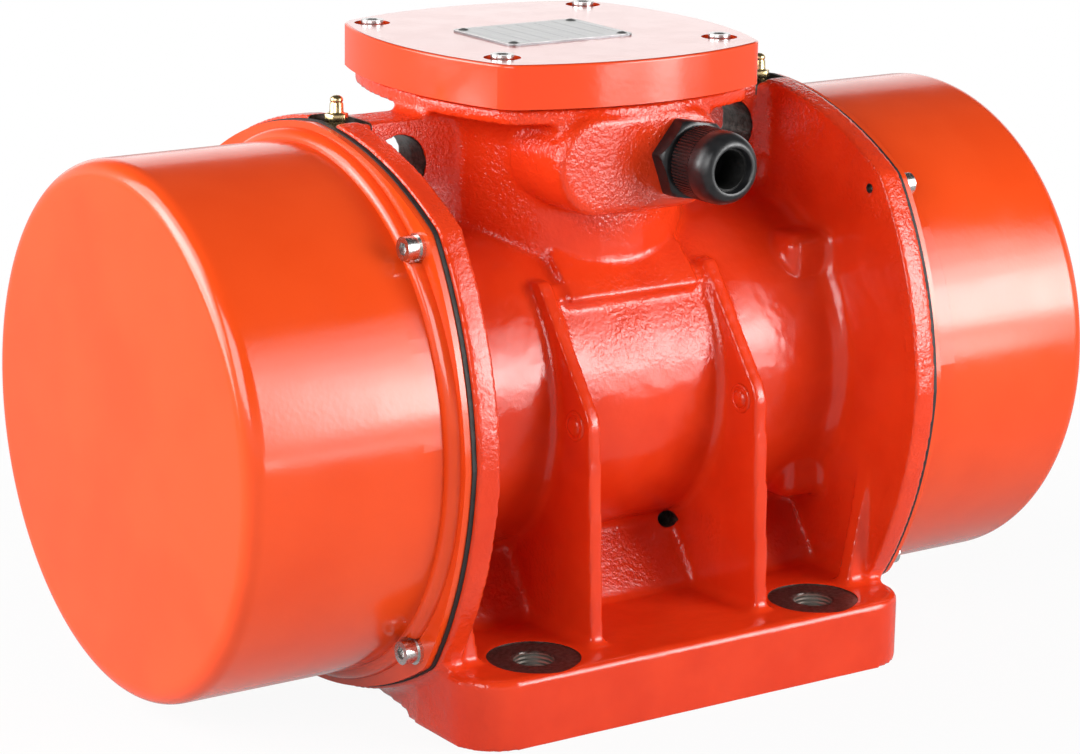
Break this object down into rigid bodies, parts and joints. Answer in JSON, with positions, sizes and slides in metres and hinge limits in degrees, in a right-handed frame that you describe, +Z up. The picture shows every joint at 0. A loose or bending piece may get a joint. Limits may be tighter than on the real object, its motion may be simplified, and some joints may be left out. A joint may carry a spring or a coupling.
{
  "type": "vibration motor",
  "caption": "Foot-mounted vibration motor: finned cast frame, terminal box with cable gland, and round end covers over eccentric weights clamped on the shaft.",
  "frame": {"origin": "on the base plane, at the centre of the foot holes", "axes": "+X along the shaft, -Y towards the cable gland, +Z up from the feet"},
  "size_m": [0.44, 0.2508, 0.2786],
  "materials": {
    "casting_paint": "glossy red-orange paint over a sand-cast surface",
    "cover_paint": "smooth satin red-orange paint on drawn steel",
    "machined_iron": "bare machined iron",
    "stainless": "bright stainless fasteners",
    "dark_steel": "ground bearing and shaft steel",
    "weight_steel": "oiled weight castings",
    "brass": "yellow plated brass",
    "black_nylon": "black moulded nylon",
    "rubber": "black sheet rubber",
    "aluminium": "satin aluminium plate and rivets",
    "copper_winding": "varnished copper windings",
    "laminations": "stacked electrical steel",
    "moulding": "dark moulded terminal block"
  },
  "bodies": {
    "frame": {"frame_casting": "casting_paint", "stator_core": "laminations", "stator_windings": "copper_winding", "terminal_lid": "casting_paint", "lid_gasket": "rubber", "lid_screws": "stainless", "lid_washers": "stainless", "nameplate": "aluminium", "nameplate_rivets": "aluminium", "terminal_block": "moulding", "terminal_studs": "stainless", "terminal_nuts": "brass", "earth_screw": "brass", "gland_body": "black_nylon", "gland_seal": "rubber", "gland_nut": "black_nylon", "left_bearing_bracket": "machined_iron", "left_bracket_bolts": "dark_steel", "left_bearing_cap": "machined_iron", "left_cap_screws": "stainless", "left_bearing_outer_ring": "dark_steel", "left_bearing_cage": "brass", "left_bearing_rollers": "dark_steel", "left_cover": "cover_paint", "left_cover_gasket": "rubber", "left_cover_screws": "stainless", "left_cover_washers": "stainless", "left_grease_nipple": "brass", "right_bearing_bracket": "machined_iron", "right_bracket_bolts": "dark_steel", "right_bearing_cap": "machined_iron", "right_cap_screws": "stainless", "right_bearing_outer_ring": "dark_steel", "right_bearing_cage": "brass", "right_bearing_rollers": "dark_steel", "right_cover": "cover_paint", "right_cover_gasket": "rubber", "right_cover_screws": "stainless", "right_cover_washers": "stainless", "right_grease_nipple": "brass"},
    "rotor": {"rotor_shaft": "dark_steel", "rotor_core": "laminations", "rotor_end_rings": "aluminium", "left_bearing_inner_ring": "dark_steel", "left_spacer_sleeve": "dark_steel", "left_retaining_ring": "dark_steel", "left_fixed_weight": "weight_steel", "left_weight_key": "dark_steel", "right_bearing_inner_ring": "dark_steel", "right_spacer_sleeve": "dark_steel", "right_retaining_ring": "dark_steel", "right_fixed_weight": "weight_steel", "right_weight_key": "dark_steel"},
    "left_adjustable": {"left_adjustable_weight": "weight_steel", "left_clamp_bolt": "dark_steel"},
    "right_adjustable": {"right_adjustable_weight": "weight_steel", "right_clamp_bolt": "dark_steel"}
  },
  "joints": [
    {"name": "rotor_spin", "type": "hinge", "parent": "frame", "child": "rotor", "pos_m": [0, 0, 0.125], "axis": [1, 0, 0], "continuous": true},
    {"name": "left_weight_setting", "type": "hinge", "parent": "rotor", "child": "left_adjustable", "pos_m": [-0.1843, 0, 0.125], "axis": [-1, 0, 0], "range_deg": [0, 180]},
    {"name": "right_weight_setting", "type": "hinge", "parent": "rotor", "child": "right_adjustable", "pos_m": [0.1843, 0, 0.125], "axis": [1, 0, 0], "range_deg": [0, 180]}
  ]
}
